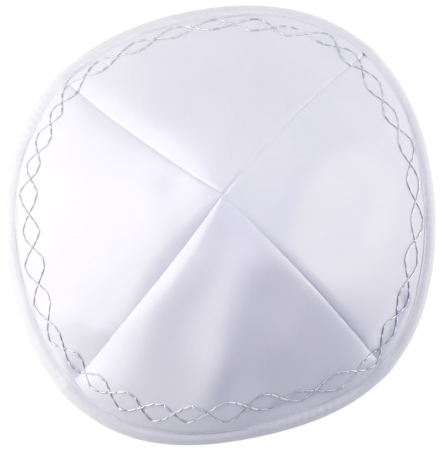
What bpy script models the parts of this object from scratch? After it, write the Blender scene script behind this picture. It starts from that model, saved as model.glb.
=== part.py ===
"""A skullcap of four satin panels with a bound rim, lying on its rim.

Metres, +Z up. The origin is on the surface that the cap lies on, under the middle of its outline.
-Y is the front and +X the right.
"""

import math
from collections import namedtuple

import bmesh
import bpy
from mathutils import Vector

# The crown. Azimuths are degrees counter-clockwise from +X, seen from above.
CROWN_HEIGHT = 0.054  # from the surface that it lies on to the outside of the apex
CROWN_RADIUS = 0.0882  # mean radius at which the crown would meet that surface
APEX_SHIFT = 0.0018  # the apex lies this far right of the outline's middle
DOME_POWER = 2.2  # the crown falls with this power of the distance from its apex
PANEL_SAG = 0.0045  # the most that a panel's middle lies below its two seams
SAG_POWER = 4.0  # the larger it is, the closer to the rim a panel sags most
PANEL_WALL = 0.0012
SEAM_GAP = 0.0003

# The outline departs from a circle in waves: how many go round it, how far they reach out, and where. The wave of
# two makes its oval and the wave of four its soft corners.
Wave = namedtuple("Wave", "count reach azimuth")
WAVES = (
    Wave(1, 0.0008, 11.0),
    Wave(2, 0.0023, 63.5),
    Wave(3, 0.0004, 50.0),
    Wave(4, 0.0020, 55.5),
    Wave(5, 0.00045, 31.0),
    Wave(6, 0.00025, 4.0),
)

# The binding, folded over the crown's lower edge.
BINDING_WALL = 0.001
BINDING_REACH = 0.0057  # how far, on the mean, it reaches up the crown from the crown's lower edge
UNEVEN_REACH = 0.0011  # how much further it reaches at one side, and less far at the other
UNEVEN_AZIMUTH = 156.0
BINDING_CLEARANCE = 0.0003  # between the binding and the crown's wall
REST_FLAT = 0.0024  # width of the flat that the binding rests on

# How finely the cloth is divided, and the least angle between two faces that shows as an edge.
COLUMNS = 20
ROWS = 18
ROWS_TO_RIM = 0.6  # how strongly the rows crowd towards the rim, from 0 to 1
LEG_STEPS = 6  # down each leg of the binding
ARC_STEPS = 3
EDGE_ANGLE = 50.0

# The seams wander a little, so each has one azimuth at the apex and one at the rim. The cloth dips to them. The
# dip is a share of CROWN_HEIGHT, and its reach on the panel before the seam and on the one after it, as the
# azimuth grows, a share of CROWN_RADIUS.
Seam = namedtuple("Seam", "apex_azimuth rim_azimuth dip reach_before reach_after")
BACK_RIGHT = Seam(51.0, 49.0, 0.022, 0.10, 0.055)
BACK_LEFT = Seam(146.0, 137.0, 0.050, 0.115, 0.105)
FRONT_LEFT = Seam(235.0, 228.0, 0.060, 0.12, 0.105)
FRONT_RIGHT = Seam(316.0, 318.0, 0.036, 0.09, 0.060)
DIP_ONSET = 0.16  # at this share down from the apex a dip has half its depth and half its reach
TURN = 360.0
BACK_RIGHT_AGAIN = BACK_RIGHT._replace(
    apex_azimuth=BACK_RIGHT.apex_azimuth + TURN, rim_azimuth=BACK_RIGHT.rim_azimuth + TURN
)

Panel = namedtuple("Panel", "first second")
PANELS = {
    "back": Panel(BACK_RIGHT, BACK_LEFT),
    "left": Panel(BACK_LEFT, FRONT_LEFT),
    "front": Panel(FRONT_LEFT, FRONT_RIGHT),
    "right": Panel(FRONT_RIGHT, BACK_RIGHT_AGAIN),
}

# Soft folds and dents. Each runs straight, seen from above, between two places on a panel, given as shares
# across it, -1 and 1 at its seams, and shares down it from the apex to the rim. The half width is a share of
# CROWN_RADIUS and the rise of CROWN_HEIGHT, less than nothing for a valley.
Fold = namedtuple("Fold", "panel from_across from_down to_across to_down half_width rise")
FOLDS = (
    Fold("left", -0.73, 0.22, -0.98, 0.67, 0.100, -0.052),
    Fold("left", 0.97, 0.80, 0.97, 0.90, 0.120, -0.070),
    Fold("left", 0.74, 0.94, 0.97, 0.91, 0.055, -0.050),
    Fold("left", 0.62, 0.85, 0.90, 0.74, 0.055, 0.026),
    Fold("left", 0.96, 0.26, 0.84, 0.70, 0.090, -0.030),
    Fold("front", 0.42, 0.34, -0.13, 0.91, 0.105, 0.042),
    Fold("front", 0.22, 0.60, -0.14, 0.92, 0.230, 0.115),
    Fold("front", -0.38, 0.42, -0.54, 0.50, 0.100, -0.018),
    Fold("front", -0.95, 0.39, -0.88, 0.76, 0.060, -0.012),
    Fold("front", 0.42, 0.53, 0.26, 0.82, 0.140, -0.054),
    Fold("front", 0.06, 0.72, 0.42, 0.73, 0.110, 0.036),
    Fold("front", 0.12, 0.91, 0.54, 0.90, 0.090, -0.050),
    Fold("front", 0.74, 0.94, 0.83, 0.90, 0.045, 0.022),
    Fold("right", -0.97, 0.91, -0.63, 0.91, 0.042, -0.080),
    Fold("right", -0.42, 0.50, 0.03, 0.57, 0.155, -0.060),
    Fold("right", 0.86, 0.24, 0.77, 0.70, 0.120, -0.060),
    Fold("back", -0.72, 0.37, -0.87, 0.78, 0.120, -0.045),
)
FOLDS_FADE = 0.85  # below this share down the panel the dips and the folds fade out
FOLDS_END = 0.955  # and here they end, just under the binding's edge

SATIN_COLOUR = (0.90, 0.90, 0.94, 1.0)
SATIN_ROUGHNESS = 0.38
BINDING_COLOUR = (0.86, 0.86, 0.91, 1.0)
BINDING_ROUGHNESS = 0.45


def between(first, second, share):
    """The value that lies that share of the way from first to second."""
    return first + (second - first) * share


def smooth_step(start, end, value):
    """0 up to start, 1 from end, and a smooth rise between them."""
    share = min(1.0, max(0.0, (value - start) / (end - start)))
    return share * share * (3 - 2 * share)


def outline_radius(azimuth):
    waves = [wave.reach * math.cos(wave.count * math.radians(azimuth - wave.azimuth)) for wave in WAVES]
    return CROWN_RADIUS + sum(waves)


def binding_reach(azimuth):
    return BINDING_REACH + UNEVEN_REACH * math.cos(math.radians(azimuth - UNEVEN_AZIMUTH))


def azimuth_at(panel, across, down):
    """The azimuth at the rim and, for that line down the panel, the azimuth at this share down."""
    share = (across + 1) / 2
    rim = between(panel.first.rim_azimuth, panel.second.rim_azimuth, share)
    apex = between(panel.first.apex_azimuth, panel.second.apex_azimuth, share)
    return rim, between(apex, rim, down)


def turned(azimuth, radius):
    angle = math.radians(azimuth)
    return Vector((radius * math.cos(angle), radius * math.sin(angle)))


def plan_point(panel, across, down):
    """Where a place on a panel lies, seen from above. Half the seam's gap is left free along each seam."""
    spread = math.radians(panel.second.rim_azimuth - panel.first.rim_azimuth)
    across *= 1 - SEAM_GAP / (spread * CROWN_RADIUS)
    rim_azimuth, azimuth = azimuth_at(panel, across, down)
    middle = (panel.first.rim_azimuth + panel.second.rim_azimuth) / 2
    tip = turned(middle, SEAM_GAP / 2 / math.sin(spread / 2))
    rim = turned(rim_azimuth, outline_radius(rim_azimuth))
    place = tip.lerp(rim, down)
    angle = math.radians(azimuth - rim_azimuth)
    x = place.x * math.cos(angle) - place.y * math.sin(angle)
    y = place.x * math.sin(angle) + place.y * math.cos(angle)
    return Vector((x + APEX_SHIFT * (1 - down), y))


def seam_dip(panel, across, down):
    """How far the cloth dips towards the panel's nearest seam."""
    half_spread = math.radians(panel.second.rim_azimuth - panel.first.rim_azimuth) / 2
    seam, reach = panel.first, panel.first.reach_after
    if across > 0:
        seam, reach = panel.second, panel.second.reach_before
    near = max(0.0, 1 - (1 - abs(across)) * half_spread * (down + DIP_ONSET) / reach)
    return seam.dip * CROWN_HEIGHT * down / (down + DIP_ONSET) * near * near


def fold_rise(place, down):
    """How far the folds lift the cloth at a place seen from above."""
    rise = 0.0
    for fold in FOLDS:
        start = plan_point(PANELS[fold.panel], fold.from_across, fold.from_down)
        end = plan_point(PANELS[fold.panel], fold.to_across, fold.to_down)
        run = end - start
        share = min(1.0, max(0.0, (place - start).dot(run) / run.length_squared))
        away = (place - start - run * share).length / (fold.half_width * CROWN_RADIUS)
        rise += fold.rise * CROWN_HEIGHT * math.exp(-away * away)
    return rise


def sag_share(down):
    """How a panel's sag grows down from the apex to 1, its most, and ends at the rim."""
    lowest = (1 / (SAG_POWER + 1)) ** (1 / SAG_POWER)
    return down * (1 - down**SAG_POWER) / (lowest * (1 - lowest**SAG_POWER))


def crown_point(panel, across, down):
    """A point of the crown's outer face. At down = 1 it would meet the surface that the cap lies on."""
    place = plan_point(panel, across, down)
    height = CROWN_HEIGHT * (1 - down**DOME_POWER)
    height -= PANEL_SAG * sag_share(down) * (1 - across * across)
    relief = fold_rise(place, down) - seam_dip(panel, across, down)
    relief *= 1 - smooth_step(FOLDS_FADE, FOLDS_END, down)
    return Vector((place.x, place.y, height + relief))


def outward(panel, across, down):
    """The direction out of the crown's wall, that of the dome without its folds."""
    rim_azimuth, azimuth = azimuth_at(panel, across, down)
    fall = CROWN_HEIGHT * DOME_POWER * down ** (DOME_POWER - 1) / outline_radius(rim_azimuth)
    flat = turned(azimuth, fall)
    return Vector((flat.x, flat.y, 1.0)).normalized()


def offset_point(panel, across, down, distance):
    """A point that far out from the crown's outer face, or into its wall where distance is negative."""
    return crown_point(panel, across, down) + distance * outward(panel, across, down)


def fold_radius():
    """Outer radius of the binding where it turns round the crown's lower edge."""
    return PANEL_WALL / 2 + BINDING_CLEARANCE + BINDING_WALL


HALVINGS = 40  # enough to find the edge to the last digit


def edge_down(panel, across):
    """The share down at which the crown's wall ends, so that the binding round it rests on its flat."""
    height = math.sqrt(fold_radius() ** 2 - (REST_FLAT / 2) ** 2)
    above, below = 0.0, 1.0
    for _ in range(HALVINGS):
        middle = (above + below) / 2
        if offset_point(panel, across, middle, -PANEL_WALL / 2).z > height:
            above = middle
        else:
            below = middle
    return above


def column_places():
    """Shares across a panel for its lines of cloth, closer together towards its seams."""
    even = [2 * column / COLUMNS - 1 for column in range(COLUMNS + 1)]
    return [(place + math.sin(math.pi / 2 * place)) / 2 for place in even]


def row_share(share):
    """Where a row that would lie at this share down lies when the rows crowd towards the rim."""
    return share * (1 + ROWS_TO_RIM * (1 - share))


def satin(name, colour, roughness):
    material = bpy.data.materials.new(name)
    material.use_nodes = True
    shader = material.node_tree.nodes["Principled BSDF"]
    shader.inputs["Base Color"].default_value = colour
    shader.inputs["Roughness"].default_value = roughness
    shader.inputs["Metallic"].default_value = 0.0
    material.diffuse_color = colour
    return material


def add_piece(name, mesh_data, material, collection):
    """Makes a closed mesh an object of the cap, with its faces pointing out."""
    bmesh.ops.recalc_face_normals(mesh_data, faces=mesh_data.faces)
    mesh = bpy.data.meshes.new(name)
    mesh_data.to_mesh(mesh)
    mesh_data.free()
    mesh.shade_smooth()
    mesh.set_sharp_from_angle(angle=math.radians(EDGE_ANGLE))
    mesh.materials.append(material)
    piece = bpy.data.objects.new(name, mesh)
    collection.objects.link(piece)
    return piece


def make_panel(name, panel, material, collection):
    """A flat slab of cloth, as wide as -1 to 1, formed over the dome and gathered to a point at the apex."""
    slab = bmesh.new()
    bmesh.ops.create_grid(slab, x_segments=COLUMNS, y_segments=ROWS, size=1.0)
    skin = bmesh.ops.extrude_face_region(slab, geom=slab.faces[:], use_keep_orig=True)
    inner = {vertex for vertex in skin["geom"] if isinstance(vertex, bmesh.types.BMVert)}
    places = column_places()
    edges = [edge_down(panel, across) for across in places]
    for vertex in slab.verts:
        column = round((vertex.co.x + 1) / 2 * COLUMNS)
        down = row_share((1 - vertex.co.y) / 2) * edges[column]
        depth = -PANEL_WALL if vertex in inner else 0.0
        vertex.co = offset_point(panel, places[column], down, depth)
    bmesh.ops.remove_doubles(slab, verts=slab.verts, dist=SEAM_GAP / 4)
    return add_piece(f"panel_{name}", slab, material, collection)


def stretch(panel, across, first_down, last_down):
    """How far apart two places on one line down a panel lie."""
    return (offset_point(panel, across, last_down, 0) - offset_point(panel, across, first_down, 0)).length


def binding_section(panel, across):
    """The binding's U section on one line down a panel, as a closed loop of points."""
    edge = edge_down(panel, across)
    reach = binding_reach(azimuth_at(panel, across, edge)[0])
    share = reach / CROWN_RADIUS
    top = edge - share * reach / stretch(panel, across, edge - share, edge)
    crest = top - (edge - top) * BINDING_WALL / 2 / reach
    leg_downs = [between(top, edge, step / LEG_STEPS) for step in range(LEG_STEPS)]
    out_face = BINDING_CLEARANCE + BINDING_WALL
    in_face = -PANEL_WALL - out_face

    normal = outward(panel, across, edge)
    centre = offset_point(panel, across, edge, -PANEL_WALL / 2)
    level = Vector((normal.x, normal.y, 0)).normalized()
    downhill = level * normal.z - Vector((0, 0, 1)) * level.dot(normal)
    radius = fold_radius()
    lowest = math.acos(-normal.z)
    half_flat = math.acos(min(1.0, centre.z / radius))
    flat_start, flat_end = lowest - half_flat, min(math.pi, lowest + half_flat)

    def on_fold(angle):
        return centre + radius * (normal * math.cos(angle) + downhill * math.sin(angle))

    points = [offset_point(panel, across, down, out_face) for down in leg_downs]
    points += [on_fold(flat_start * step / ARC_STEPS) for step in range(ARC_STEPS + 1)]
    points += [on_fold(between(flat_end, math.pi, step)) for step in (0, 1)]
    points += [offset_point(panel, across, down, in_face) for down in reversed(leg_downs)]
    points.append(offset_point(panel, across, crest, in_face + BINDING_WALL / 2))
    cavity = PANEL_WALL / 2 + BINDING_CLEARANCE
    points += [offset_point(panel, across, down, -PANEL_WALL - BINDING_CLEARANCE) for down in leg_downs]
    points += [centre - normal * cavity + downhill * BINDING_CLEARANCE]
    points += [centre + normal * cavity + downhill * BINDING_CLEARANCE]
    points += [offset_point(panel, across, down, BINDING_CLEARANCE) for down in reversed(leg_downs)]
    points.append(offset_point(panel, across, crest, out_face - BINDING_WALL / 2))
    for point in points:
        point.z = max(point.z, 0.0)
    return points


def loft_ring(rings):
    """A closed band through closed sections with equally many points."""
    band = bmesh.new()
    loops = [[band.verts.new(point) for point in ring] for ring in rings]
    size = len(loops[0])
    for number, loop in enumerate(loops):
        after = loops[(number + 1) % len(loops)]
        for point in range(size):
            following = (point + 1) % size
            band.faces.new((loop[point], loop[following], after[following], after[point]))
    return band


def make_binding(material, collection):
    """The binding, through one section on each panel's lines of cloth but the last, which the next has."""
    sections = []
    for panel in PANELS.values():
        sections += [binding_section(panel, across) for across in column_places()[:-1]]
    return add_piece("rim_binding", loft_ring(sections), material, collection)


def main():
    for piece in list(bpy.data.objects):
        bpy.data.objects.remove(piece)
    collection = bpy.data.collections.new("kippah")
    bpy.context.scene.collection.children.link(collection)
    origin = bpy.data.objects.new("kippah_origin", None)
    collection.objects.link(origin)
    satin_cloth = satin("panel_satin", SATIN_COLOUR, SATIN_ROUGHNESS)
    binding_cloth = satin("binding_satin", BINDING_COLOUR, BINDING_ROUGHNESS)
    pieces = [make_panel(name, panel, satin_cloth, collection) for name, panel in PANELS.items()]
    pieces.append(make_binding(binding_cloth, collection))
    for piece in pieces:
        piece.parent = origin


main()
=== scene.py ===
"""Looks of a skullcap of four satin panels, with a bound rim and a silver trim stitched round it.

Metres, +Z up; -Y is the front and +X the right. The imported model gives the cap's size and its place.
Azimuths are degrees counter-clockwise from +X, seen from above. A place on a panel is its share across, -1
and 1 at the panel's seams, and its share down from the apex, 1 where the crown would meet the floor.
"""

import math
from collections import namedtuple

import bpy
import numpy as np
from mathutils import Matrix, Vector


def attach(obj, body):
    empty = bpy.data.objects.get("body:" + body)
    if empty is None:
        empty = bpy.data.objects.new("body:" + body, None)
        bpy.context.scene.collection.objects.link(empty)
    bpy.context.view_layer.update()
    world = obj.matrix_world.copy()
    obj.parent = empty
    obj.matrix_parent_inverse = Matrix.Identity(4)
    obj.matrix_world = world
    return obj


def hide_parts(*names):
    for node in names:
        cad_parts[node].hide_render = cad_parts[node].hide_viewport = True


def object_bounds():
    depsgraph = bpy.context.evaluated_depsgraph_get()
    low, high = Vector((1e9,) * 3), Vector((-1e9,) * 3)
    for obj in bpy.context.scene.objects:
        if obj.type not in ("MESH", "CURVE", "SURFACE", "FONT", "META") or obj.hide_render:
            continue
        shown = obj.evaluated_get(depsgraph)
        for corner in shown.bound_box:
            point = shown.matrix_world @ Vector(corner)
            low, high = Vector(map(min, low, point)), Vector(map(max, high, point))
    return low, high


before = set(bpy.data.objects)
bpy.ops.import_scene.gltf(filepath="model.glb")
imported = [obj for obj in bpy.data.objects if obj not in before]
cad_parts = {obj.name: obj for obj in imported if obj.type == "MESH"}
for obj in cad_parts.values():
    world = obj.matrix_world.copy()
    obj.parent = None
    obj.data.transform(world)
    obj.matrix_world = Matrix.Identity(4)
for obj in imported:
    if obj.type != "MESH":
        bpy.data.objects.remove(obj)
CAD_LOW, CAD_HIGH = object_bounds()
BODY = "root"

# The camera, from the photograph's angle.
CAMERA_ELEVATION = 78.8
CAMERA_DISTANCE = 0.9
CAMERA_LENS = 183.3  # millimetres, as is the sensor
CAMERA_AIM = Vector((0.0011, -0.0009, 0.0))
SENSOR_WIDTH = 36.0

# The crown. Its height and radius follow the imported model.
RADIUS_TO_OUTLINE = 1.0184  # the binding cuts the crown off a little inside the radius where it would end
CROWN_HEIGHT = CAD_HIGH.z
CROWN_RADIUS = RADIUS_TO_OUTLINE * (CAD_HIGH.x - CAD_LOW.x + CAD_HIGH.y - CAD_LOW.y) / 4
APEX_SHIFT = 0.0018
DOME_POWER = 2.2
PANEL_SAG = 0.0045
SAG_POWER = 4.0
LOWEST_SAG = (1 / (SAG_POWER + 1)) ** (1 / SAG_POWER)  # the share down at which a panel sags most
SAG_UNIT = LOWEST_SAG * (1 - LOWEST_SAG**SAG_POWER)
PANEL_WALL = 0.0012

# The outline departs from a circle in waves: how many go round it, how far they reach out, and where.
Wave = namedtuple("Wave", "count reach azimuth")
WAVES = (
    Wave(1, 0.0008, 11.0),
    Wave(2, 0.0023, 63.5),
    Wave(3, 0.0004, 50.0),
    Wave(4, 0.0020, 55.5),
    Wave(5, 0.00045, 31.0),
    Wave(6, 0.00025, 4.0),
)

# The cloth dips towards each seam by a share of the crown's height. The dip reaches out on the seam's two
# sides by a share of the crown's radius. The roll right at the seam is in metres.
Seam = namedtuple("Seam", "apex_azimuth rim_azimuth dip reach_before reach_after roll")
BACK_RIGHT = Seam(51.0, 49.0, 0.022, 0.10, 0.055, 0.00060)
BACK_LEFT = Seam(146.0, 137.0, 0.050, 0.115, 0.105, 0.00022)
FRONT_LEFT = Seam(235.0, 228.0, 0.060, 0.12, 0.105, 0.0)
FRONT_RIGHT = Seam(316.0, 318.0, 0.036, 0.09, 0.060, 0.00020)
DIP_ONSET = 0.16
TURN = 360.0
LEVEL = np.array([1.0, 1.0, 0.0])
UP = np.array([0.0, 0.0, 1.0])
BACK_RIGHT_AGAIN = BACK_RIGHT._replace(
    apex_azimuth=BACK_RIGHT.apex_azimuth + TURN, rim_azimuth=BACK_RIGHT.rim_azimuth + TURN
)
Panel = namedtuple("Panel", "first second")
PANELS = {
    "back": Panel(BACK_RIGHT, BACK_LEFT),
    "left": Panel(BACK_LEFT, FRONT_LEFT),
    "front": Panel(FRONT_LEFT, FRONT_RIGHT),
    "right": Panel(FRONT_RIGHT, BACK_RIGHT_AGAIN),
}

Fold = namedtuple("Fold", "panel from_across from_down to_across to_down half_width rise")
FOLDS = (
    Fold("left", -0.73, 0.22, -0.98, 0.67, 0.100, -0.052),
    Fold("left", 0.97, 0.80, 0.97, 0.90, 0.120, -0.070),
    Fold("left", 0.74, 0.94, 0.97, 0.91, 0.055, -0.050),
    Fold("left", 0.62, 0.85, 0.90, 0.74, 0.055, 0.026),
    Fold("left", 0.96, 0.26, 0.84, 0.70, 0.090, -0.030),
    Fold("front", 0.42, 0.34, -0.13, 0.91, 0.105, 0.042),
    Fold("front", 0.22, 0.60, -0.14, 0.92, 0.230, 0.115),
    Fold("front", -0.38, 0.42, -0.54, 0.50, 0.100, -0.018),
    Fold("front", -0.95, 0.39, -0.88, 0.76, 0.060, -0.012),
    Fold("front", 0.42, 0.53, 0.26, 0.82, 0.140, -0.054),
    Fold("front", 0.06, 0.72, 0.42, 0.73, 0.110, 0.036),
    Fold("front", 0.12, 0.91, 0.54, 0.90, 0.090, -0.050),
    Fold("front", 0.74, 0.94, 0.83, 0.90, 0.045, 0.022),
    Fold("right", -0.97, 0.91, -0.63, 0.91, 0.042, -0.080),
    Fold("right", -0.42, 0.50, 0.03, 0.57, 0.155, -0.060),
    Fold("right", 0.86, 0.24, 0.77, 0.70, 0.120, -0.060),
    Fold("back", -0.72, 0.37, -0.87, 0.78, 0.120, -0.045),
)
FOLDS_FADE = 0.85
FOLDS_END = 0.955

# How finely the cloth is divided. The inner face has one line for several of the outer face's.
COLUMNS = 320
ROWS = 168
INNER_STEP = 4
COLUMNS_TO_SEAMS = 0.75  # how strongly the lines of cloth crowd towards the seams, from 0 to 1
ROWS_TO_RIM = 0.4  # and the rows towards the rim
STITCH_GAP = 0.00001  # left between two panels at their seam
PROFILE = np.linspace(1, 0, 241)  # shares down at which the lines down a panel are measured
HALVINGS = 36  # of the search for the crown's lower edge

# Where the cloth turns down into a seam.
ROLL_REACH = 0.0016
PUCKER_HEIGHT = 0.00005
PUCKER_LENGTH = 0.0032
PUCKER_REACH = 0.004
PUCKER_SWAY = 2.3  # the puckers crowd and spread along the seam by this much, in radians
PUCKER_SWAY_PACE = 0.31  # and this often, as a share of how often the puckers come
PUCKER_SIDE_SHIFT = 1.7  # between the puckers on a panel's two seams, in radians
PUCKER_ONSET = 0.15  # the share down at which the puckers have their full height
ALLOWANCE_WIDTH = 0.006  # of the cloth that is turned in along a seam
ALLOWANCE_WALL = 0.0004

# Soft unevenness of the cloth.
RIPPLE_COUNT = 28
RIPPLE_LENGTHS = (0.014, 0.045)
RIPPLE_HEIGHT = 0.00009
RIPPLE_SEED = 5

# The binding, folded over the crown's lower edge.
BINDING_WALL = 0.001
BINDING_REACH = 0.0057
UNEVEN_REACH = 0.0011
UNEVEN_AZIMUTH = 156.0
BINDING_CLEARANCE = 0.0003
TOP_CLEARANCE = 0.00003  # between the binding's upper edge and the cloth
REST_FLAT = 0.0024
BINDING_COLUMNS = 170  # on each panel
LEG_STEPS = 16
FOLD_STEPS = 14
LEG_CROWDING = 1.4  # how strongly the lines of a leg crowd towards its upper edge; 1 is evenly
CREST_LOW = 0.00120  # how much nearer the cloth the binding's upper edge lies than its middle
CREST_RISE = 0.0032  # width over which it rises to that
CREST_RADIUS = 0.00012
BAND_PUFF = 0.0002
PUFF_FULLNESS = 0.8  # a lower power makes a fuller puff
STITCH_LINE = 0.0011  # from the binding's upper edge down to its row of stitches
STITCH_GROOVE = 0.00008
STITCH_GROOVE_WIDTH = 0.00035
EDGE_WANDER = 0.00025  # how far the binding's upper edge strays up and down
TAPE_PUCKER = 0.0001
TAPE_PUCKER_LENGTH = 0.0033
TAPE_SLANT = 0.35  # how far the puckers lean over the tape's width, as a share of their length
TAPE_FULLNESS = 0.5
SEAM_LUMP = 0.0003  # where the binding goes over a seam's turned-in cloth
SEAM_LUMP_WIDTH = 0.004

# Waves along the tape. The length is that of one radian.
Sway = namedtuple("Sway", "size length phase")
EDGE_SWAYS = (Sway(1.0, 0.0069, 0.0), Sway(0.6, 0.0031, 0.8))
PUCKER_SWAYS = (Sway(2.1, 0.0117, 0.0), Sway(1.3, 0.0071, 1.1))
STRENGTH_SWAYS = (Sway(0.45, 0.0173, 0.6),)
MEAN_STRENGTH = 0.55

# The silver trim: two strands that cross between its eyes. An eye's middle is how far up the cloth it lies
# from where the crown would meet the floor, in millimetres, as its half width is.
Eye = namedtuple("Eye", "azimuth middle half_width")
EYES = (
    Eye(-176.0, 17.1, 4.9),
    Eye(-166.0, 16.3, 6.0),
    Eye(-155.0, 14.9, 5.0),
    Eye(-144.5, 13.9, 3.5),
    Eye(-135.5, 17.5, 3.9),
    Eye(-126.5, 17.4, 4.2),
    Eye(-117.0, 16.6, 4.9),
    Eye(-108.0, 15.6, 4.7),
    Eye(-99.0, 15.4, 3.9),
    Eye(-88.0, 14.8, 4.7),
    Eye(-76.5, 17.2, 3.9),
    Eye(-66.5, 15.5, 2.6),
    Eye(-54.5, 14.3, 4.3),
    Eye(-43.5, 12.4, 3.4),
    Eye(-34.0, 14.7, 3.8),
    Eye(-24.0, 14.0, 3.4),
    Eye(-12.5, 14.0, 4.1),
    Eye(-1.0, 11.8, 4.0),
    Eye(11.0, 13.0, 4.0),
    Eye(21.5, 12.9, 5.0),
    Eye(31.0, 17.2, 4.2),
    Eye(41.0, 17.9, 5.1),
    Eye(51.0, 17.2, 5.2),
    Eye(59.5, 14.7, 4.7),
    Eye(69.5, 18.5, 4.1),
    Eye(79.0, 16.3, 5.2),
    Eye(91.0, 14.0, 4.2),
    Eye(102.5, 14.2, 4.2),
    Eye(114.5, 16.2, 4.2),
    Eye(127.0, 16.0, 4.6),
    Eye(138.5, 15.8, 5.0),
    Eye(146.0, 17.2, 4.0),
    Eye(154.5, 17.1, 5.3),
    Eye(163.5, 16.1, 4.5),
    Eye(172.0, 15.6, 5.4),
)
MILLIMETRE = 0.001
TRIM_STITCH = 0.0041
TRIM_THREAD = 0.00038  # radius
TRIM_HOLE_STRAY = 0.00025
TRIM_SEED = 11
TRIM_LIFT = 0.8  # how far a stitch rises over the cloth, as a share of the thread's radius
TRIM_DEPTH = 1.3  # and how far it goes down at its holes
TRIM_SINK = 0.00008  # how far the stitches press the cloth in
TRIM_SINK_WIDTH = 0.0006
EYE_PUFF = 0.0001
STRAIGHTNESS = 0.35  # of a strand between its swings, from 0, a plain wave, to 1
STRAND_STEPS = 4000  # points along each turn of the trim's path

# The stitches that hold the binding.
TOP_STITCH = 0.0025
TOP_THREAD = 0.00014
TOP_LIFT = 0.5
TOP_DEPTH = 1.5

# How a stitch is made: points along it and round it, and its plies.
THREAD_STEPS = 12
THREAD_SIDES = 8
ARCH_FULLNESS = 0.35
PLY_DEPTH = 0.08  # share of the radius
PLY_TURN = 0.0011  # length of one turn of the twist

# Satin: its two colours, its roughness, and how many degrees its weave is turned on the flat cloth.
Satin = namedtuple("Satin", "light dark roughness turn")
PANEL_SATIN = Satin((0.825, 0.82, 0.91), (0.805, 0.80, 0.895), 0.38, 0.0)
BINDING_SATIN = Satin((0.80, 0.80, 0.87), (0.76, 0.76, 0.84), 0.45, 45.0)
SATIN_SETTINGS = {
    "Anisotropic": 0.35,
    "Sheen Weight": 0.12,
    "Sheen Roughness": 0.4,
    "Specular IOR Level": 0.45,
}
SATIN_GLOSS_SPREAD = 0.03
WEAVE_FLOAT = 0.0006  # length of one float of the satin's weave
WEAVE_THREAD = 0.00012  # width of one thread
WEAVE_DEPTH = 0.00002
SLUB_SCALE = 900.0
SLUB_WIDTH = 0.12  # as a share of a slub's length
SLUB_DEPTH = 0.00004
CLOUD_SCALE = 45.0

# Thread. Its duller stretches have a share of its colour.
Thread = namedtuple("Thread", "colour metallic roughness")
SILVER_THREAD = Thread((0.78, 0.78, 0.83), 0.6, 0.42)
WHITE_THREAD = Thread((0.85, 0.85, 0.88), 0.0, 0.5)
GLINT_SCALE = 1400.0
DULL_SHARE = 0.85
THREAD_GLOSS_SPREAD = 0.08
NOISE_MIDDLE = (0.3, 0.7)  # the values between which most of a noise texture lies

# Painted shade: from this height down the binding's cloth gets darker, to this share of its colour at the
# floor, where a soft shadow would fall.
PAINTED_SHADE_HEIGHT = 0.0026
PAINTED_SHADE_TINT = 0.72

# The floor.
FLOOR_SIZE = 6.0
FLOOR_COLOUR = (0.05, 0.05, 0.05)
FLOOR_GLOW = (0.98, 0.98, 0.98)  # a white studio floor with its own glow, no lamp, in a pool round the cap; the glow lights the cap
FAR_GLOW = (0.58, 0.56, 0.78)
POOL_RADII = (0.13, 0.22)  # the pool fades out between these, in metres from the middle

# Lamps, aimed at the origin. Azimuth and elevation are in degrees, power in watts.
Lamp = namedtuple("Lamp", "name azimuth elevation distance width height power colour")
LAMPS = (
    Lamp("right_low_lamp", 6.0, 15.0, 0.94, 0.5, 0.4, 4.4, (1.0, 1.0, 0.75)),
    Lamp("right_lamp", 0.0, 45.0, 0.94, 0.5, 0.4, 1.5, (0.60, 0.56, 1.0)),
    Lamp("back_right_lamp", 40.0, 45.0, 0.94, 0.5, 0.4, 1.6, (1.0, 1.0, 0.86)),
    Lamp("back_left_lamp", 135.0, 45.0, 0.94, 0.5, 0.4, 3.4, (1.0, 1.0, 1.0)),
    Lamp("left_lamp", 180.0, 44.0, 0.94, 0.5, 0.4, 3.5, (1.0, 0.98, 0.62)),
    Lamp("left_low_lamp", 180.0, 16.0, 0.94, 0.5, 0.4, 1.5, (1.0, 0.97, 0.95)),
    Lamp("front_left_lamp", 220.0, 22.0, 0.94, 0.5, 0.4, 2.4, (0.95, 0.95, 1.0)),
    Lamp("top_lamp", 270.0, 88.0, 1.2, 0.6, 0.6, 1.5, (0.0, 0.0, 1.0)),
)
SKY_COLOUR = (0.0, 0.0, 0.0)
SKY_STRENGTH = 0.0

CLOTH_UV = "cloth"
FLAT_SPREAD = 0.82  # the panels' azimuths close up by this when their cloth is laid flat


def between(first, second, share):
    return first + (second - first) * share


def smooth_step(start, end, value):
    share = np.clip((value - start) / (end - start), 0, 1)
    return share * share * (3 - 2 * share)


def bell(value, width):
    return np.exp(-((value / width) ** 2))


def turned(azimuth, radius):
    angle = np.radians(azimuth)
    return np.stack([radius * np.cos(angle), radius * np.sin(angle)], axis=-1)


def normalized(vectors):
    return vectors / np.linalg.norm(vectors, axis=-1, keepdims=True)


def outline_radius(azimuth):
    """How far the crown's cloth would reach out at the floor."""
    waves = [wave.reach * np.cos(wave.count * np.radians(azimuth - wave.azimuth)) for wave in WAVES]
    return CROWN_RADIUS + sum(waves)


def binding_reach(azimuth):
    """How far up the cloth the binding's upper edge lies."""
    return BINDING_REACH + UNEVEN_REACH * np.cos(np.radians(azimuth - UNEVEN_AZIMUTH))


def azimuths_at(panel, across, down):
    """The azimuth of a line of cloth at the rim, and that of the place itself."""
    share = (across + 1) / 2
    rim = between(panel.first.rim_azimuth, panel.second.rim_azimuth, share)
    apex = between(panel.first.apex_azimuth, panel.second.apex_azimuth, share)
    return rim, between(apex, rim, down)


def half_spread(panel):
    """Half of a panel's angle at the rim, in radians."""
    return math.radians(panel.second.rim_azimuth - panel.first.rim_azimuth) / 2


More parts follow.
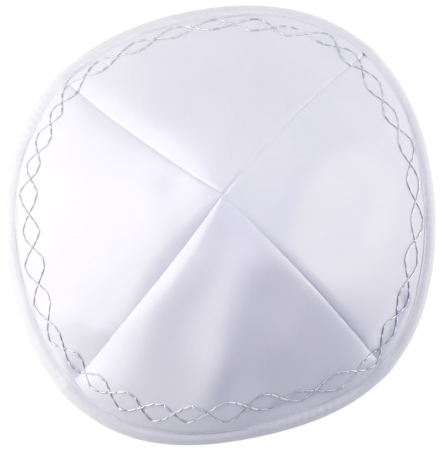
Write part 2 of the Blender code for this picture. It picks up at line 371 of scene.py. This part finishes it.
def plan_places(panel, across, down):
    """Places seen from above."""
    across = across * (1 - STITCH_GAP / (2 * half_spread(panel) * CROWN_RADIUS))
    rim, azimuth = azimuths_at(panel, across, down)
    places = turned(azimuth, outline_radius(rim) * down)
    places[..., 0] += APEX_SHIFT * (1 - down)
    return places


def fold_rise(places):
    """How far the main folds and dents lift the cloth."""
    rise = np.zeros(places.shape[:-1])
    for fold in FOLDS:
        panel = PANELS[fold.panel]
        start = plan_places(panel, np.float64(fold.from_across), np.float64(fold.from_down))
        run = plan_places(panel, np.float64(fold.to_across), np.float64(fold.to_down)) - start
        share = np.clip((places - start) @ run / (run @ run), 0, 1)
        away = np.linalg.norm(places - start - share[..., None] * run, axis=-1)
        rise += fold.rise * CROWN_HEIGHT * bell(away, fold.half_width * CROWN_RADIUS)
    return rise


def seam_dip(panel, across, down):
    """How far the cloth dips towards its panel's nearest seam."""
    after = across > 0
    depth = np.where(after, panel.second.dip, panel.first.dip) * CROWN_HEIGHT
    reach = np.where(after, panel.second.reach_before, panel.first.reach_after)
    near = np.clip(1 - (1 - np.abs(across)) * half_spread(panel) * (down + DIP_ONSET) / reach, 0, 1)
    return depth * down / (down + DIP_ONSET) * near**2


def crown_points(panel, across, down):
    """Points of the crown's outer face, with its main folds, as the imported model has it."""
    places = plan_places(panel, across, down)
    height = CROWN_HEIGHT * (1 - down**DOME_POWER)
    height = height - PANEL_SAG * down * (1 - down**SAG_POWER) / SAG_UNIT * (1 - across**2)
    soft = fold_rise(places) - seam_dip(panel, across, down)
    height = height + soft * (1 - smooth_step(FOLDS_FADE, FOLDS_END, down))
    return np.concatenate([places, height[..., None]], axis=-1)


def outward(panel, across, down):
    """Directions away from the plain dome, without its folds."""
    rim, azimuth = azimuths_at(panel, across, down)
    fall = CROWN_HEIGHT * DOME_POWER * down ** (DOME_POWER - 1) / outline_radius(rim)
    flat = turned(azimuth, fall)
    return normalized(np.concatenate([flat, np.ones_like(fall)[..., None]], axis=-1))


def wall_points(panel, across, down, rise):
    """Points this far outside the crown's outer face."""
    return crown_points(panel, across, down) + rise[..., None] * outward(panel, across, down)


def fold_radius():
    """Of the binding's fold, to its outer face."""
    return PANEL_WALL / 2 + BINDING_CLEARANCE + BINDING_WALL


def edge_downs(panel, across):
    """The shares down at which the crown's wall ends, inside the binding."""
    height = math.sqrt(fold_radius() ** 2 - (REST_FLAT / 2) ** 2)
    above = np.zeros_like(across)
    below = np.ones_like(across)
    for _ in range(HALVINGS):
        middle = (above + below) / 2
        high = wall_points(panel, across, middle, np.full_like(across, -PANEL_WALL / 2))[..., 2] > height
        above = np.where(high, middle, above)
        below = np.where(high, below, middle)
    return above


def reach_profiles(panel, across):
    """For each line down a panel, how far up the cloth from down = 1 each of PROFILE lies."""
    radius = outline_radius(azimuths_at(panel, across, 1.0)[0])[:, None]
    down = PROFILE[None, :]
    sag_fall = PANEL_SAG * (1 - (SAG_POWER + 1) * down**SAG_POWER) / SAG_UNIT * (1 - across[:, None] ** 2)
    fall = CROWN_HEIGHT * DOME_POWER * down ** (DOME_POWER - 1) + sag_fall
    pace = np.sqrt(radius**2 + fall**2)
    steps = (pace[:, 1:] + pace[:, :-1]) / 2 * (PROFILE[0] - PROFILE[1])
    return np.concatenate([np.zeros((len(across), 1)), np.cumsum(steps, axis=1)], axis=1)


def reaches_at(panel, across, down):
    """How far up the cloth the points of a grid lie, whose rows go down and whose columns go across."""
    profiles = reach_profiles(panel, across)
    columns = [np.interp(-down[:, i], -PROFILE, profiles[i]) for i in range(len(across))]
    return np.stack(columns, axis=1)


def downs_at(panel, across, reach):
    """The shares down of points that lie this far up the cloth."""
    profiles = reach_profiles(panel, across)
    return np.array([np.interp(reach[i], profiles[i], PROFILE) for i in range(len(across))])


def eye_table():
    """The eyes round one turn, with the first again at its end: azimuths, middles and half widths."""
    eyes = EYES + (EYES[0]._replace(azimuth=EYES[0].azimuth + TURN),)
    azimuth, middle, half_width = np.array(eyes).T
    return azimuth, middle * MILLIMETRE, half_width * MILLIMETRE


def strand_reaches(azimuth, strand):
    """How far up the cloth one of the trim's two strands runs. It swings from side to side at each eye."""
    eyes, middle, half_width = eye_table()
    side = np.where((np.arange(len(eyes)) + strand) % 2 == 0, 1, -1)
    swing = middle + side * half_width
    turn = eyes[0] + (azimuth - eyes[0]) % TURN
    number = np.clip(np.searchsorted(eyes, turn, side="right") - 1, 0, len(eyes) - 2)
    share = (turn - eyes[number]) / (eyes[number + 1] - eyes[number])
    wave = between((1 - np.cos(np.pi * share)) / 2, share, STRAIGHTNESS)
    return between(swing[number], swing[number + 1], wave)


def ripples(places):
    """A soft random unevenness, the sum of waves in all directions."""
    chance = np.random.default_rng(RIPPLE_SEED)
    total = np.zeros(places.shape[:-1])
    for _ in range(RIPPLE_COUNT):
        length = between(*RIPPLE_LENGTHS, chance.random())
        angle, phase = chance.random(2) * 2 * np.pi
        wave = places @ np.array([math.cos(angle), math.sin(angle)]) * 2 * np.pi / length + phase
        total += np.sin(wave) * length / RIPPLE_LENGTHS[1]
    return RIPPLE_HEIGHT * total / math.sqrt(RIPPLE_COUNT / 2)


def seam_roll(panel, across, down):
    """How far the cloth has turned down close to its panel's nearest seam, and its small puckers there."""
    away = (1 - np.abs(across)) * half_spread(panel) * down * CROWN_RADIUS
    share = np.clip(1 - away / ROLL_REACH, 0, 1)
    drop = np.where(across > 0, panel.second.roll, panel.first.roll) * share**2
    along = down * CROWN_RADIUS * 2 * np.pi / PUCKER_LENGTH
    sway = PUCKER_SWAY * np.sin(PUCKER_SWAY_PACE * along)
    pucker = np.sin(along + sway + PUCKER_SIDE_SHIFT * np.sign(across))
    strength = np.exp(-away / PUCKER_REACH) * smooth_step(0.0, PUCKER_ONSET, down)
    return drop + PUCKER_HEIGHT * pucker * strength


def trim_press(azimuth, reach):
    """How far the trim's stitches press the cloth in, less the puff of the cloth inside its eyes."""
    first, second = (strand_reaches(azimuth, strand) for strand in (0, 1))
    press = np.maximum(bell(reach - first, TRIM_SINK_WIDTH), bell(reach - second, TRIM_SINK_WIDTH))
    inside = np.clip((reach - np.minimum(first, second)) * (np.maximum(first, second) - reach), 0, None)
    width = np.maximum(np.abs(first - second), MILLIMETRE)
    return TRIM_SINK * press - EYE_PUFF * 4 * inside / width**2


def relief(panel, across, down, reach):
    """The cloth's fine form on top of its main folds."""
    places = plan_places(panel, across, down)
    rim, _ = azimuths_at(panel, across, down)
    return ripples(places) - seam_roll(panel, across, down) - trim_press(rim, reach)


def cloth_points(panel, across, down, reach, rise):
    """Points that far above the cloth's outer face."""
    return wall_points(panel, across, down, relief(panel, across, down, reach) + rise)


def column_places():
    """Shares across of the lines down a panel."""
    even = np.linspace(-1, 1, COLUMNS + 1)
    return between(even, np.sin(np.pi / 2 * even), COLUMNS_TO_SEAMS)


def row_shares():
    """How far down each row lies, from 0 at the apex to 1 at the cloth's lower edge."""
    even = np.linspace(0, 1, ROWS + 1)
    return even * (1 + ROWS_TO_RIM * (1 - even))


def add_object(name, points, faces, uvs=None):
    """A smooth mesh object from points, faces and, for each point, its place on the flat cloth."""
    mesh = bpy.data.meshes.new(name)
    mesh.from_pydata(points.tolist(), [], faces)
    mesh.shade_smooth()
    if uvs is not None:
        corners = np.zeros(len(mesh.loops), dtype=np.int32)
        mesh.loops.foreach_get("vertex_index", corners)
        layer = mesh.uv_layers.new(name=CLOTH_UV)
        layer.data.foreach_set("uv", uvs[corners].astype(np.float32).ravel())
    piece = bpy.data.objects.new(name, mesh)
    bpy.context.scene.collection.objects.link(piece)
    return piece


def grid_numbers(start, rows, columns):
    """Vertex numbers of a grid whose first row is one point."""
    rest = np.arange(rows * (columns + 1)).reshape(rows, columns + 1) + start + 1
    return np.vstack([np.full(columns + 1, start), rest])


def grid_faces(numbers, flip):
    """Quads of a grid, and triangles where two corners are one point."""
    a, b = numbers[:-1, :-1].ravel(), numbers[:-1, 1:].ravel()
    c, d = numbers[1:, 1:].ravel(), numbers[1:, :-1].ravel()
    faces = []
    for corners in zip(a.tolist(), b.tolist(), c.tolist(), d.tolist()):
        face = list(dict.fromkeys(corners))
        faces.append(face[::-1] if flip else face)
    return faces


def bridge(fine, coarse):
    """Triangles between two edges of a sheet, of which one has INNER_STEP points for each of the other's."""
    faces = []
    for number in range(len(coarse) - 1):
        start, half = number * INNER_STEP, INNER_STEP // 2
        near, far = coarse[number], coarse[number + 1]
        strip = fine[start : start + INNER_STEP + 1]
        faces += [(strip[i], near, strip[i + 1]) for i in range(half)]
        faces += [(near, far, strip[half])]
        faces += [(strip[i], far, strip[i + 1]) for i in range(half, INNER_STEP)]
    return [tuple(dict.fromkeys(face)) for face in faces if len(set(face)) == 3]


def turned_in(panel, across, down):
    """Thickness of the cloth that is turned in along the seams, on the inside."""
    away = (1 - np.abs(across)) * half_spread(panel) * down * CROWN_RADIUS
    return ALLOWANCE_WALL * (1 - smooth_step(ALLOWANCE_WIDTH - ALLOWANCE_WALL, ALLOWANCE_WIDTH, away))


def make_panel(name, panel):
    """One panel: its outer face with all its folds, and a plainer inner face a wall's thickness below."""
    across = column_places()
    down = row_shares()[:, None] * edge_downs(panel, across)[None, :]
    wide = np.broadcast_to(across, down.shape)
    reach = reaches_at(panel, across, down)
    outer = cloth_points(panel, wide, down, reach, np.zeros_like(down))
    coarse = (slice(None, None, INNER_STEP),) * 2
    inner_across, inner_down = wide[coarse], down[coarse]
    depth = -PANEL_WALL - turned_in(panel, inner_across, inner_down)
    inner = wall_points(panel, inner_across, inner_down, depth)
    outer_numbers = grid_numbers(0, ROWS, COLUMNS)
    first_inner = outer_numbers[-1, -1] + 1
    inner_numbers = grid_numbers(first_inner, ROWS // INNER_STEP, COLUMNS // INNER_STEP)
    points = np.vstack([outer[0, :1], outer[1:].reshape(-1, 3), inner[0, :1], inner[1:].reshape(-1, 3)])
    faces = grid_faces(outer_numbers, flip=True) + grid_faces(inner_numbers, flip=False)
    faces += bridge(outer_numbers[:, 0].tolist(), inner_numbers[:, 0].tolist())
    faces += bridge(outer_numbers[::-1, -1].tolist(), inner_numbers[::-1, -1].tolist())
    faces += bridge(outer_numbers[-1].tolist(), inner_numbers[-1].tolist())
    flat = flat_places(panel, wide, down, reach)
    flat_inner = flat[coarse]
    uvs = np.vstack([flat[0, :1], flat[1:].reshape(-1, 2), flat_inner[0, :1], flat_inner[1:].reshape(-1, 2)])
    piece = add_object(f"satin_{name}", points, faces, uvs)
    return piece, np.ptp(uvs, axis=0)


def flat_places(panel, across, down, reach):
    """Where the cloth's points lie when the panel is laid flat, its apex at the origin."""
    middle = (panel.first.rim_azimuth + panel.second.rim_azimuth) / 2
    _, azimuth = azimuths_at(panel, across, down)
    from_apex = reach[0:1] - reach
    return turned(90 + (azimuth - middle) * FLAT_SPREAD, from_apex)


def swayed(sways, along):
    """The sum of the waves, at places along the tape."""
    return sum(sway.size * np.sin(along / sway.length + sway.phase) for sway in sways)


def tape_relief(along, share):
    """Puckers of the binding's tape, at places along it, over a share of its width."""
    phase = 2 * np.pi * (along / TAPE_PUCKER_LENGTH + TAPE_SLANT * share)
    strength = MEAN_STRENGTH + swayed(STRENGTH_SWAYS, along)
    fade = np.sin(np.pi * np.clip(share, 0, 1)) ** TAPE_FULLNESS
    return TAPE_PUCKER * strength * np.sin(phase + swayed(PUCKER_SWAYS, along)) * fade


def binding_rings(panel, across):
    """The binding's sections on lines down a panel, as rings of points, and how wide the tape is there."""
    rim, _ = azimuths_at(panel, across, 1.0)
    along = np.radians(rim) * CROWN_RADIUS
    edge = edge_downs(panel, across)
    wander = EDGE_WANDER * swayed(EDGE_SWAYS, along)
    plain_reach = binding_reach(rim)
    reach = plain_reach + wander
    share = plain_reach / CROWN_RADIUS
    none = np.zeros_like(across)
    ends = (edge - share, edge)
    chord = np.linalg.norm(np.subtract(*(wall_points(panel, across, end, none) for end in ends)), axis=-1)
    top = edge - share * reach / chord
    seam_away = (1 - np.abs(across)) * half_spread(panel) * CROWN_RADIUS
    lump = SEAM_LUMP * bell(seam_away, SEAM_LUMP_WIDTH)
    out_face = BINDING_CLEARANCE + BINDING_WALL + lump
    in_face = -PANEL_WALL - BINDING_CLEARANCE - BINDING_WALL

    def leg(step, face, side):
        """Points down one leg. The face is level but for its rounded crest, its stitch line and its puff."""
        part = step / LEG_STEPS
        below = part * plain_reach
        crest = np.sqrt(CREST_RADIUS**2 - np.clip(CREST_RADIUS - below, 0, None) ** 2) - CREST_RADIUS
        low = -CREST_LOW * (1 - smooth_step(0.0, CREST_RISE, below))
        groove = -STITCH_GROOVE * bell(below - STITCH_LINE, STITCH_GROOVE_WIDTH)
        swell = np.clip((below - STITCH_LINE) / (plain_reach - STITCH_LINE), 0, 1)
        puff = BAND_PUFF * np.sin(np.pi * swell) ** PUFF_FULLNESS
        form = face + side * (crest + low + groove + puff + tape_relief(along, part))
        return wall_points(panel, across, between(top, edge, part), form)

    normal = outward(panel, across, edge)
    centre = wall_points(panel, across, edge, none - PANEL_WALL / 2)
    level = normalized(normal * LEVEL)
    downhill = level * normal[:, 2:] - UP * np.sum(level * normal, axis=-1, keepdims=True)
    radius = fold_radius()
    steps = [LEG_STEPS * (number / LEG_STEPS) ** LEG_CROWDING for number in range(LEG_STEPS)]
    points = [leg(step, out_face, 1) for step in steps]
    for number in range(FOLD_STEPS + 1):
        angle = math.pi * number / FOLD_STEPS
        swell = lump * math.cos(angle / 2) ** 2
        spoke = normal * math.cos(angle) + downhill * math.sin(angle)
        points.append(centre + (radius + swell)[:, None] * spoke)
    points += [leg(step, none + in_face, -1) for step in reversed(steps)]
    hollow = PANEL_WALL + BINDING_CLEARANCE
    halfway = (top + edge) / 2
    thin = PANEL_WALL + TOP_CLEARANCE
    points += [wall_points(panel, across, top, none - thin)]
    points += [wall_points(panel, across, down, none - hollow) for down in (halfway, edge)]
    points += [wall_points(panel, across, down, none + BINDING_CLEARANCE) for down in (edge, halfway)]
    points += [wall_points(panel, across, top, none + TOP_CLEARANCE)]
    rings = np.stack(points, axis=1)
    rings[..., 2] = np.maximum(rings[..., 2], 0.0)
    return rings, along


def make_binding():
    """The tape folded over the rim."""
    rings, alongs = [], []
    for panel in PANELS.values():
        across = np.linspace(-1, 1, BINDING_COLUMNS, endpoint=False)
        ring, along = binding_rings(panel, across)
        rings.append(ring)
        alongs.append(along)
    rings, alongs = np.vstack(rings), np.concatenate(alongs)
    count, size = rings.shape[:2]
    numbers = np.arange(count * size).reshape(count, size)
    after = np.roll(numbers, -1, axis=0)
    corners = (numbers, np.roll(numbers, -1, axis=1), np.roll(after, -1, axis=1), after)
    faces = np.stack([corner.ravel() for corner in corners], axis=1).tolist()
    section = np.linalg.norm(np.diff(rings, axis=1), axis=-1)
    around = np.concatenate([np.zeros((count, 1)), np.cumsum(section, axis=1)], axis=1)
    uvs = np.stack([np.broadcast_to(alongs[:, None], around.shape), around], axis=-1).reshape(-1, 2)
    piece = add_object("satin_binding", rings.reshape(-1, 3), faces, uvs)
    girth = np.linalg.norm(rings[:, 0] - np.roll(rings[:, 0], -1, axis=0), axis=-1).sum()
    return piece, (girth, around.max(axis=1).mean() / 2)


def rim_places(azimuth, reach, rise):
    """Points above the cloth, at azimuths round the rim and this far up the cloth."""
    points = np.zeros(azimuth.shape + (3,))
    ups = np.zeros_like(points)
    for panel in PANELS.values():
        first = panel.first.rim_azimuth
        width = panel.second.rim_azimuth - first
        turn = (azimuth - first) % TURN
        on = turn < width
        across = 2 * turn[on] / width - 1
        down = downs_at(panel, across, reach[on])
        points[on] = cloth_points(panel, across, down, reach[on], rise[on])
        ups[on] = outward(panel, across, down)
    return points, ups


def thread_object(name, points, ups, radius):
    """Stitches of a twisted thread, each along its own row of points."""
    count, steps = points.shape[:2]
    ahead = normalized(np.gradient(points, axis=1))
    side = normalized(np.cross(ahead, ups))
    up = np.cross(side, ahead)
    lengths = np.linalg.norm(np.diff(points, axis=1), axis=-1)
    run = np.concatenate([np.zeros((count, 1)), np.cumsum(lengths, axis=1)], axis=1)
    angle = np.arange(THREAD_SIDES) * 2 * np.pi / THREAD_SIDES
    twist = run[..., None] * 2 * np.pi / PLY_TURN
    size = radius * (1 + PLY_DEPTH * np.cos(2 * angle - twist))
    ring = side[:, :, None] * np.cos(angle)[:, None] + up[:, :, None] * np.sin(angle)[:, None]
    tube = points[:, :, None] + ring * size[..., None]
    numbers = np.arange(count * steps * THREAD_SIDES).reshape(count, steps, THREAD_SIDES)
    here, there = numbers[:, :-1], numbers[:, 1:]
    corners = (here, np.roll(here, -1, axis=2), np.roll(there, -1, axis=2), there)
    faces = np.stack([corner.ravel() for corner in corners], axis=1).tolist()
    faces += numbers[:, 0, ::-1].tolist() + numbers[:, -1].tolist()
    return add_object(name, tube.reshape(-1, 3), faces)


def stitch_arch(share):
    """How far a stitch has risen from its holes, 0, to its middle, 1."""
    return np.clip(4 * share * (1 - share), 0, 1) ** ARCH_FULLNESS


def stitch_rows(holes, reach, lift, sink):
    """Points along stitches from hole to hole: azimuths, reaches up the cloth and heights over it."""
    share = np.linspace(0, 1, THREAD_STEPS)
    azimuth = between(holes[:-1, None], holes[1:, None], share)
    reaches = between(reach[:-1, None], reach[1:, None], share)
    return azimuth, reaches, np.broadcast_to(between(-sink, lift, stitch_arch(share)), azimuth.shape)


def make_trim():
    """The silver trim: one thread sewn twice round the crown, whose two turns cross between the eyes."""
    start = EYES[0].azimuth
    azimuth = start + np.linspace(0, 2 * TURN, 2 * STRAND_STEPS + 1)
    first, second = (strand_reaches(azimuth, strand) for strand in (0, 1))
    reach = np.where(azimuth - start < TURN, first, second)
    reach[-1] = reach[0]
    points, _ = rim_places(azimuth, reach, np.zeros_like(azimuth))
    steps = np.linalg.norm(np.diff(points, axis=0), axis=-1)
    run = np.concatenate([[0.0], np.cumsum(steps)])
    count = round(run[-1] / TRIM_STITCH)
    chance = np.random.default_rng(TRIM_SEED)
    at = np.linspace(0, run[-1], count + 1)
    at[1:-1] += (chance.random(count - 1) * 2 - 1) * TRIM_HOLE_STRAY
    holes = np.interp(at, run, azimuth)
    hole_reach = np.interp(at, run, reach)
    rows = stitch_rows(holes, hole_reach, lift=TRIM_LIFT * TRIM_THREAD, sink=TRIM_DEPTH * TRIM_THREAD)
    points, ups = rim_places(*rows)
    return thread_object("silver_trim", points, ups, TRIM_THREAD)


def make_top_stitches():
    """The row of fine stitches just below the binding's upper edge."""
    points, ups = [], []
    count = round(math.radians(TURN / len(PANELS)) * CROWN_RADIUS / TOP_STITCH)
    for panel in PANELS.values():
        even = np.linspace(-1, 1, count * THREAD_STEPS)
        edge = edge_downs(panel, even)
        rim, _ = azimuths_at(panel, even, 1.0)
        top = reaches_at(panel, even, edge[None, :])[0] + binding_reach(rim) - STITCH_LINE
        down = downs_at(panel, even, top)
        share = (np.arange(count * THREAD_STEPS) % THREAD_STEPS) / (THREAD_STEPS - 1)
        low = CREST_LOW * (1 - smooth_step(0.0, CREST_RISE, STITCH_LINE))
        face = BINDING_CLEARANCE + BINDING_WALL - STITCH_GROOVE - low
        rise = face + between(-TOP_DEPTH * TOP_THREAD, TOP_LIFT * TOP_THREAD, stitch_arch(share))
        points.append(wall_points(panel, even, down, rise).reshape(count, THREAD_STEPS, 3))
        ups.append(outward(panel, even, down).reshape(count, THREAD_STEPS, 3))
    return thread_object("binding_stitches", np.vstack(points), np.vstack(ups), TOP_THREAD)


def new_node(tree, kind, inputs=None, **settings):
    node = tree.nodes.new(kind)
    for name, value in settings.items():
        setattr(node, name, value)
    for name, value in (inputs or {}).items():
        node.inputs[name].default_value = value
    return node


def new_material(name):
    """A material, its node tree and its shader."""
    material = bpy.data.materials.new(name)
    material.use_nodes = True
    tree = material.node_tree
    return material, tree, tree.nodes["Principled BSDF"]


def vary_roughness(tree, noise, roughness, spread):
    """Lets the noise make the material a little duller in some places and glossier in others."""
    gloss = new_node(tree, "ShaderNodeMapRange")
    gloss.inputs["From Min"].default_value, gloss.inputs["From Max"].default_value = NOISE_MIDDLE
    gloss.inputs["To Min"].default_value = roughness - spread
    gloss.inputs["To Max"].default_value = roughness + spread
    tree.links.new(noise.outputs["Fac"], gloss.inputs["Value"])
    tree.links.new(gloss.outputs["Result"], tree.nodes["Principled BSDF"].inputs["Roughness"])


def painted_contact_shade(tree, colour):
    """The colour with painted shade: darker close to the surface that the cap lies on, where a soft shadow
    would fall.
    """
    place = new_node(tree, "ShaderNodeTexCoord")
    split = new_node(tree, "ShaderNodeSeparateXYZ")
    tree.links.new(place.outputs["Object"], split.inputs["Vector"])
    height = new_node(tree, "ShaderNodeMapRange", {"From Max": PAINTED_SHADE_HEIGHT, "To Min": PAINTED_SHADE_TINT})
    tree.links.new(split.outputs["Z"], height.inputs["Value"])
    scaled = new_node(tree, "ShaderNodeVectorMath", operation="SCALE")
    tree.links.new(colour, scaled.inputs[0])
    tree.links.new(height.outputs["Result"], scaled.inputs["Scale"])
    return scaled.outputs["Vector"]


def satin(name, cloth, painted_shade=False):
    """Satin: fine floats that catch the light along one direction, with faint slubs and soft clouds."""
    material, tree, shader = new_material(name)
    for setting, value in SATIN_SETTINGS.items():
        shader.inputs[setting].default_value = value
    flat = new_node(tree, "ShaderNodeUVMap", uv_map=CLOTH_UV)
    grain = new_node(tree, "ShaderNodeMapping", {"Rotation": (0.0, 0.0, math.radians(cloth.turn))})
    tree.links.new(flat.outputs["UV"], grain.inputs["Vector"])

    stretched = new_node(tree, "ShaderNodeMapping", {"Scale": (1.0, SLUB_WIDTH, 1.0)})
    tree.links.new(grain.outputs["Vector"], stretched.inputs["Vector"])
    slub_values = {"Scale": SLUB_SCALE, "Detail": 3.0, "Roughness": 0.55}
    slubs = new_node(tree, "ShaderNodeTexNoise", slub_values)
    tree.links.new(stretched.outputs["Vector"], slubs.inputs["Vector"])
    clouds = new_node(tree, "ShaderNodeTexNoise", {"Scale": CLOUD_SCALE, "Detail": 2.0})
    tree.links.new(grain.outputs["Vector"], clouds.inputs["Vector"])
    tint = new_node(tree, "ShaderNodeMix", data_type="RGBA")
    tint.inputs["A"].default_value = (*cloth.dark, 1.0)
    tint.inputs["B"].default_value = (*cloth.light, 1.0)
    both = new_node(tree, "ShaderNodeMath", operation="ADD")
    tree.links.new(slubs.outputs["Fac"], both.inputs[0])
    tree.links.new(clouds.outputs["Fac"], both.inputs[1])
    spread = new_node(tree, "ShaderNodeMapRange", {"From Min": 0.7, "From Max": 1.3})
    tree.links.new(both.outputs["Value"], spread.inputs["Value"])
    tree.links.new(spread.outputs["Result"], tint.inputs["Factor"])
    colour = tint.outputs["Result"]
    # Painted shade: the binding's cloth darkens close to the floor.
    if painted_shade:
        colour = painted_contact_shade(tree, colour)
    tree.links.new(colour, shader.inputs["Base Color"])

    vary_roughness(tree, slubs, cloth.roughness, SATIN_GLOSS_SPREAD)

    weave = new_node(tree, "ShaderNodeTexBrick", offset=0.5, offset_frequency=2)
    weave.inputs["Scale"].default_value = 1.0
    weave.inputs["Brick Width"].default_value = WEAVE_FLOAT
    weave.inputs["Row Height"].default_value = WEAVE_THREAD
    weave.inputs["Mortar Size"].default_value = WEAVE_THREAD / 3
    weave.inputs["Mortar Smooth"].default_value = 1.0
    across = new_node(tree, "ShaderNodeMapping", {"Rotation": (0.0, 0.0, math.radians(90))})
    tree.links.new(grain.outputs["Vector"], across.inputs["Vector"])
    tree.links.new(across.outputs["Vector"], weave.inputs["Vector"])
    weave_bump = new_node(tree, "ShaderNodeBump", {"Strength": 0.25, "Distance": WEAVE_DEPTH}, invert=True)
    tree.links.new(weave.outputs["Fac"], weave_bump.inputs["Height"])
    slub_bump = new_node(tree, "ShaderNodeBump", {"Strength": 0.15, "Distance": SLUB_DEPTH})
    tree.links.new(slubs.outputs["Fac"], slub_bump.inputs["Height"])
    tree.links.new(weave_bump.outputs["Normal"], slub_bump.inputs["Normal"])
    tree.links.new(slub_bump.outputs["Normal"], shader.inputs["Normal"])

    tangent = new_node(tree, "ShaderNodeTangent", direction_type="UV_MAP", uv_map=CLOTH_UV)
    tree.links.new(tangent.outputs["Tangent"], shader.inputs["Tangent"])
    return material


def thread_material(name, thread):
    """Thread: short bright and dull stretches where its plies turn."""
    material, tree, shader = new_material(name)
    shader.inputs["Metallic"].default_value = thread.metallic
    place = new_node(tree, "ShaderNodeTexCoord")
    glints = new_node(tree, "ShaderNodeTexNoise", {"Scale": GLINT_SCALE, "Detail": 2.0})
    tree.links.new(place.outputs["Object"], glints.inputs["Vector"])
    tint = new_node(tree, "ShaderNodeMix", data_type="RGBA")
    tint.inputs["A"].default_value = (*(value * DULL_SHARE for value in thread.colour), 1.0)
    tint.inputs["B"].default_value = (*thread.colour, 1.0)
    tree.links.new(glints.outputs["Fac"], tint.inputs["Factor"])
    tree.links.new(tint.outputs["Result"], shader.inputs["Base Color"])
    vary_roughness(tree, glints, thread.roughness, THREAD_GLOSS_SPREAD)
    return material


def make_floor():
    """The surface that the cap lies on. Its own glow is white near the cap and a dimmer bluish grey further
    out.
    """
    half = FLOOR_SIZE / 2
    corners = np.array([(-half, -half, 0.0), (half, -half, 0.0), (half, half, 0.0), (-half, half, 0.0)])
    floor = add_object("floor", corners, [(0, 1, 2, 3)])
    material, tree, shader = new_material("pale_floor")
    shader.inputs["Base Color"].default_value = (*FLOOR_COLOUR, 1.0)
    shader.inputs["Roughness"].default_value = 0.9
    shader.inputs["Specular IOR Level"].default_value = 0.0
    shader.inputs["Emission Strength"].default_value = 1.0
    place = new_node(tree, "ShaderNodeTexCoord")
    away = new_node(tree, "ShaderNodeVectorMath", operation="LENGTH")
    tree.links.new(place.outputs["Object"], away.inputs[0])
    outside = new_node(tree, "ShaderNodeMapRange", interpolation_type="SMOOTHSTEP")
    outside.inputs["From Min"].default_value, outside.inputs["From Max"].default_value = POOL_RADII
    tree.links.new(away.outputs["Value"], outside.inputs["Value"])
    glow = new_node(tree, "ShaderNodeMix", data_type="RGBA")
    glow.inputs["A"].default_value = (*FLOOR_GLOW, 1.0)
    glow.inputs["B"].default_value = (*FAR_GLOW, 1.0)
    tree.links.new(outside.outputs["Result"], glow.inputs["Factor"])
    tree.links.new(glow.outputs["Result"], shader.inputs["Emission Color"])
    floor.data.materials.append(material)


def make_lamps():
    """The lamps, and a dark sky."""
    for lamp in LAMPS:
        light = bpy.data.lights.new(lamp.name, "AREA")
        light.shape = "RECTANGLE"
        light.size = lamp.width
        light.size_y = lamp.height
        light.energy = lamp.power
        light.color = lamp.colour
        holder = bpy.data.objects.new(lamp.name, light)
        bpy.context.scene.collection.objects.link(holder)
        azimuth, elevation = math.radians(lamp.azimuth), math.radians(lamp.elevation)
        flat = math.cos(elevation)
        place = Vector((math.cos(azimuth) * flat, math.sin(azimuth) * flat, math.sin(elevation)))
        holder.location = place * lamp.distance
        holder.rotation_euler = place.to_track_quat("Z", "Y").to_euler()
    world = bpy.data.worlds.new("studio")
    world.use_nodes = True
    sky = world.node_tree.nodes["Background"]
    sky.inputs["Color"].default_value = (*SKY_COLOUR, 1.0)
    sky.inputs["Strength"].default_value = SKY_STRENGTH
    bpy.context.scene.world = world


def make_camera():
    camera_data = bpy.data.cameras.new("camera")
    camera_data.lens = CAMERA_LENS
    camera_data.sensor_width = SENSOR_WIDTH
    camera_data.clip_start = 0.01
    camera = bpy.data.objects.new("camera", camera_data)
    bpy.context.scene.collection.objects.link(camera)
    elevation = math.radians(CAMERA_ELEVATION)
    back = Vector((0.0, -math.cos(elevation), math.sin(elevation)))
    camera.location = CAMERA_AIM + back * CAMERA_DISTANCE
    camera.rotation_euler = back.to_track_quat("Z", "Y").to_euler()
    bpy.context.scene.camera = camera
    bpy.context.scene.view_settings.view_transform = "Standard"


def finish_piece(piece, material):
    piece.data.materials.append(material)
    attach(piece, BODY)


def main():
    make_camera()
    make_lamps()
    make_floor()
    panel_satin = satin("panel_satin_cloth", PANEL_SATIN)
    # the binding's satin carries painted shade close to the floor
    binding_satin = satin("binding_satin_cloth", BINDING_SATIN, painted_shade=True)
    silver = thread_material("silver_thread", SILVER_THREAD)
    white_thread = thread_material("white_thread", WHITE_THREAD)
    for name, panel in PANELS.items():
        piece, flat = make_panel(name, panel)
        finish_piece(piece, panel_satin)
        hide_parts(f"panel_{name}")
    binding, flat = make_binding()
    finish_piece(binding, binding_satin)
    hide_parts("rim_binding")
    finish_piece(make_trim(), silver)
    finish_piece(make_top_stitches(), white_thread)


main()
